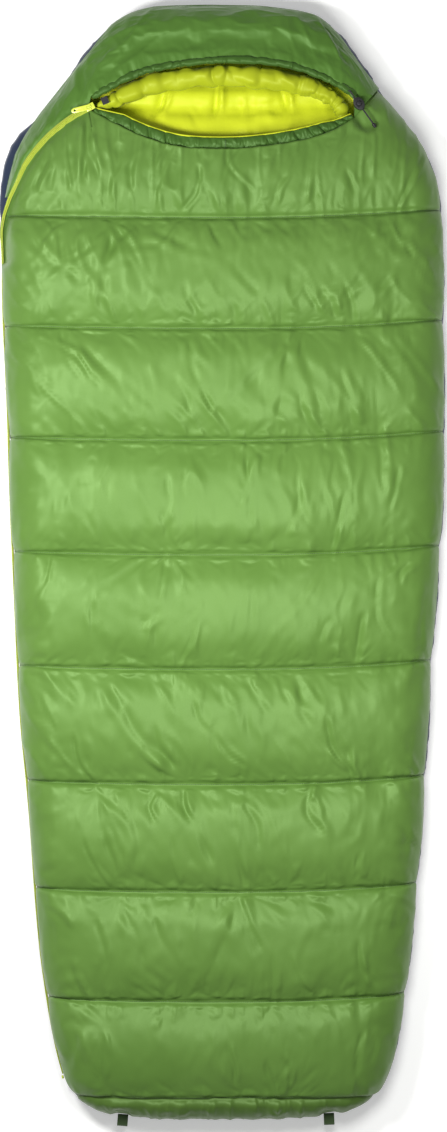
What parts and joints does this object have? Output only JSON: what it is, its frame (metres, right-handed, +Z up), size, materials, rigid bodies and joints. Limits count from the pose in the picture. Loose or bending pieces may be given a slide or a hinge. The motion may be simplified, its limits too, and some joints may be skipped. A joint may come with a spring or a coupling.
{
  "type": "mummy sleeping bag",
  "caption": "Zipped mummy sleeping bag lying flat, quilted shell over filling and liner, drawcord hood with cord lock, and a front corner that folds back as the zip opens.",
  "frame": {"origin": "on the floor under the middle of the bag, in the flat underside", "axes": "+Y towards the head, +Z up, +X towards the side without the zip"},
  "size_m": [0.8485, 2.149, 0.1265],
  "materials": {
    "shell_green": "satin",
    "hood_green": "satin",
    "liner_lime": "satin",
    "navy": "satin",
    "filling_white": "matte",
    "lime_plastic": "satin",
    "black_plastic": "gloss",
    "black_cord": "matte",
    "spring_steel": "satin",
    "webbing_green": "matte"
  },
  "bodies": {
    "bag": {"bottom_shell": "navy", "bottom_insulation": "filling_white", "bottom_liner": "liner_lime", "top_shell": "shell_green", "top_insulation": "filling_white", "top_liner": "liner_lime", "foot_band": "hood_green", "hood_shell": "hood_green", "hood_insulation": "filling_white", "hood_liner": "liner_lime", "hood_hem": "hood_green", "face_roll": "liner_lime", "chest_hem": "hood_green", "chest_piping": "liner_lime", "draft_tube": "liner_lime", "zip_tape_rear": "lime_plastic", "zip_coil_rear": "lime_plastic", "zip_tape_front": "lime_plastic", "zip_coil_front": "lime_plastic", "zip_stop": "lime_plastic", "zip_garage": "black_cord", "drawcord": "black_cord", "cord_tail": "black_cord", "cord_end": "black_plastic"},
    "front_corner": {"corner_shell": "shell_green", "corner_insulation": "filling_white", "corner_liner": "liner_lime", "chest_hem_corner": "hood_green", "chest_piping_corner": "liner_lime", "zip_tape_corner": "lime_plastic", "zip_coil_corner": "lime_plastic"},
    "zip_slider": {"zip_slider": "lime_plastic"},
    "zip_pull": {"zip_pull": "lime_plastic"},
    "cord_lock": {"cord_lock_body": "black_plastic", "cord_lock_spring": "spring_steel"},
    "cord_lock_button": {"cord_lock_button": "black_plastic"},
    "foot_loop_left": {"foot_loop_left": "webbing_green"},
    "foot_loop_right": {"foot_loop_right": "webbing_green"}
  },
  "joints": [
    {"name": "corner_fold", "type": "hinge", "parent": "bag", "child": "front_corner", "pos_m": [-0.37688, 0.76066, 0.128], "axis": [0.9964, 0.0843, 0], "range_deg": [0, 130], "deforming": ["corner_shell", "corner_insulation", "corner_liner", "chest_piping_corner", "zip_tape_corner", "zip_coil_corner", "zip_garage"]},
    {"name": "zip_travel", "type": "hinge", "parent": "bag", "child": "zip_slider", "pos_m": [-0.112, 0.582, 0.10626], "axis": [-0.0524, -0.0455, 0.9976], "range_deg": [0, 26]},
    {"name": "pull_swing", "type": "hinge", "parent": "zip_slider", "child": "zip_pull", "pos_m": [-0.2528, 0.86865, 0.11675], "axis": [-0.237, 0.971, 0.0318], "range_deg": [0, 120]},
    {"name": "lock_slide", "type": "slide", "parent": "bag", "child": "cord_lock", "axis": [0.58, -0.8146, 0], "range_m": [0, 0.03]},
    {"name": "button_press", "type": "slide", "parent": "cord_lock", "child": "cord_lock_button", "axis": [0, 0, -1], "range_m": [0, 0.003], "stiffness_N_per_m": 200, "springref_m": -0.002, "deforming": ["cord_lock_spring"]},
    {"name": "left_loop_bend", "type": "hinge", "parent": "bag", "child": "foot_loop_left", "pos_m": [-0.192, -1.0481, 0.038], "axis": [0.9968, -0.0797, 0], "range_deg": [-40, 40], "stiffness_Nm_per_rad": 0.02},
    {"name": "right_loop_bend", "type": "hinge", "parent": "bag", "child": "foot_loop_right", "pos_m": [0.2015, -1.046, 0.038], "axis": [0.9992, 0.04, 0], "range_deg": [-40, 40], "stiffness_Nm_per_rad": 0.02}
  ],
  "couplings": [
    {"joint": "zip_travel", "follows": "corner_fold", "ratio": 0.2}
  ]
}
